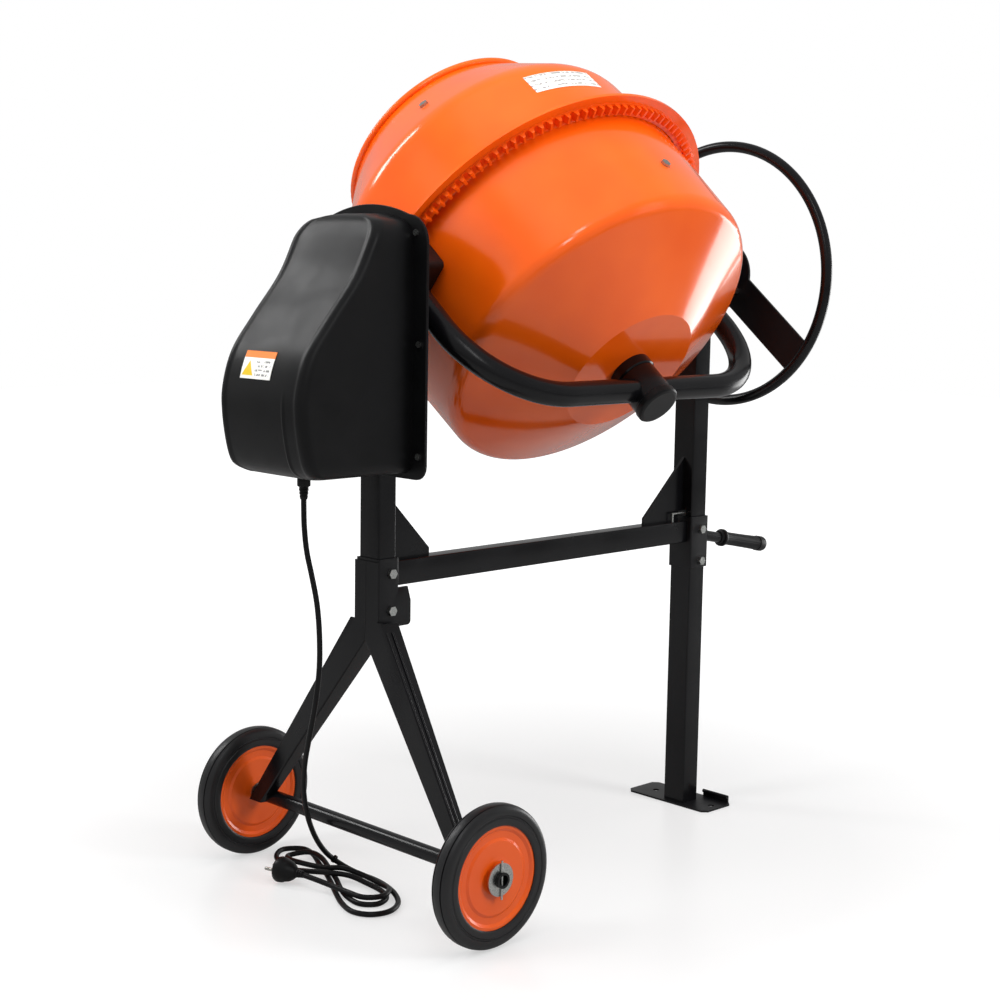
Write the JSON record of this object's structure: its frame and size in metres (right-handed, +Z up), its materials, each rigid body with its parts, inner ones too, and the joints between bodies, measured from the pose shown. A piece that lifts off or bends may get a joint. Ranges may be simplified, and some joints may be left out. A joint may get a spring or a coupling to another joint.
{
  "type": "concrete mixer",
  "caption": "Small electric concrete mixer: tilting drum in a tubular yoke on a two-post wheeled stand, with motor housing, ring gear, hand wheel, push handle and mains lead.",
  "frame": {"origin": "on the floor under the centre of the foot post, on the foot plate's sole", "axes": "+Z up, +X from the motor side towards the hand wheel and push handle, +Y towards the side the drum's mouth leans to at rest"},
  "size_m": [1.1119, 0.6376, 1.2359],
  "materials": {
    "frame_paint": "gloss",
    "wrinkle_paint": "satin",
    "drum_paint": "gloss",
    "gear_iron": "machined",
    "gear_paint": "satin",
    "zinc": "zinc plated",
    "steel": "turned",
    "tyre_rubber": "matt",
    "grip_rubber": "satin",
    "housing_plastic": "satin",
    "plug_plastic": "satin",
    "cord_sheath": "satin",
    "label_film": "printed",
    "motor_alu": "cast",
    "capacitor_case": "moulded",
    "belt_rubber": "ribbed",
    "green_plastic": "moulded",
    "red_plastic": "moulded",
    "pin_brass": "plated"
  },
  "bodies": {
    "stand": {"motor_post": "frame_paint", "foot_post": "frame_paint", "cross_beam": "frame_paint", "gussets": "frame_paint", "left_bracket": "wrinkle_paint", "right_bracket": "wrinkle_paint", "frame_bolts": "zinc", "beam_pin": "zinc", "leg_near": "frame_paint", "leg_far": "frame_paint", "axle": "frame_paint", "wheel_retainers": "zinc", "foot_plate": "wrinkle_paint", "handle_tube": "frame_paint", "handle_grip": "grip_rubber", "left_bearing_block": "wrinkle_paint", "right_bearing_bush": "steel", "locking_disc": "steel", "back_plate": "wrinkle_paint", "motor_cover": "housing_plastic", "cover_screws": "zinc", "warning_label": "label_film", "motor_mount": "steel", "motor_body": "motor_alu", "run_capacitor": "capacitor_case", "drive_belt": "belt_rubber", "switch_body": "housing_plastic", "cord_gland": "housing_plastic", "mains_cord": "cord_sheath", "cord_tie": "plug_plastic", "mains_plug": "plug_plastic", "plug_pins": "pin_brass"},
    "yoke": {"yoke_tube": "frame_paint", "pinion_bearing_tube": "frame_paint", "ball_bearings": "steel", "pinion_guard": "wrinkle_paint", "yoke_hub": "frame_paint", "hub_cap": "plug_plastic", "pivot_shaft": "zinc", "pivot_nut": "zinc"},
    "hand_wheel": {"handwheel_rim": "frame_paint", "handwheel_spoke": "wrinkle_paint", "handwheel_hub": "zinc"},
    "drum": {"drum_lower": "drum_paint", "drum_upper": "drum_paint", "ring_gear": "gear_paint", "drum_spindle": "steel", "mixing_blades": "steel", "drum_bolts": "zinc", "drum_label": "label_film"},
    "pinion": {"pinion_gear": "gear_iron", "pinion_shaft": "steel", "drive_pulley": "gear_iron"},
    "rotor": {"motor_shaft": "steel"},
    "wheel_near": {"near_tyre": "tyre_rubber", "near_wheel": "drum_paint"},
    "wheel_far": {"far_tyre": "tyre_rubber", "far_wheel": "drum_paint"},
    "start": {"start_button": "green_plastic"},
    "stop": {"stop_button": "red_plastic"}
  },
  "joints": [
    {"name": "yoke_tilt", "type": "hinge", "parent": "stand", "child": "yoke", "pos_m": [0, 0, 0.906], "axis": [-1, 0, 0], "range_deg": [-45, 75]},
    {"name": "handwheel_lock", "type": "slide", "parent": "yoke", "child": "hand_wheel", "axis": [1, 0, 0], "range_m": [-0.005, 0.01]},
    {"name": "drum_spin", "type": "hinge", "parent": "yoke", "child": "drum", "pos_m": [-0.352, 0, 0.906], "axis": [0, 0.7705, 0.6374], "continuous": true},
    {"name": "pinion_spin", "type": "hinge", "parent": "yoke", "child": "pinion", "pos_m": [-0.634, 0, 0.906], "axis": [1, 0, 0], "continuous": true},
    {"name": "motor_spin", "type": "hinge", "parent": "stand", "child": "rotor", "pos_m": [-0.738, 0, 0.706], "axis": [1, 0, 0], "continuous": true},
    {"name": "wheel_near_spin", "type": "hinge", "parent": "stand", "child": "wheel_near", "pos_m": [-0.716, -0.266, 0.1], "axis": [0, 1, 0], "continuous": true},
    {"name": "wheel_far_spin", "type": "hinge", "parent": "stand", "child": "wheel_far", "pos_m": [-0.716, 0.266, 0.1], "axis": [0, 1, 0], "continuous": true},
    {"name": "start_press", "type": "slide", "parent": "stand", "child": "start", "axis": [0, -1, 0], "range_m": [0, 0.003], "stiffness_N_per_m": 400},
    {"name": "stop_press", "type": "slide", "parent": "stand", "child": "stop", "axis": [0, -1, 0], "range_m": [0, 0.003], "stiffness_N_per_m": 400}
  ],
  "couplings": [
    {"joint": "pinion_spin", "follows": "drum_spin", "ratio": 10},
    {"joint": "motor_spin", "follows": "drum_spin", "ratio": 70}
  ]
}
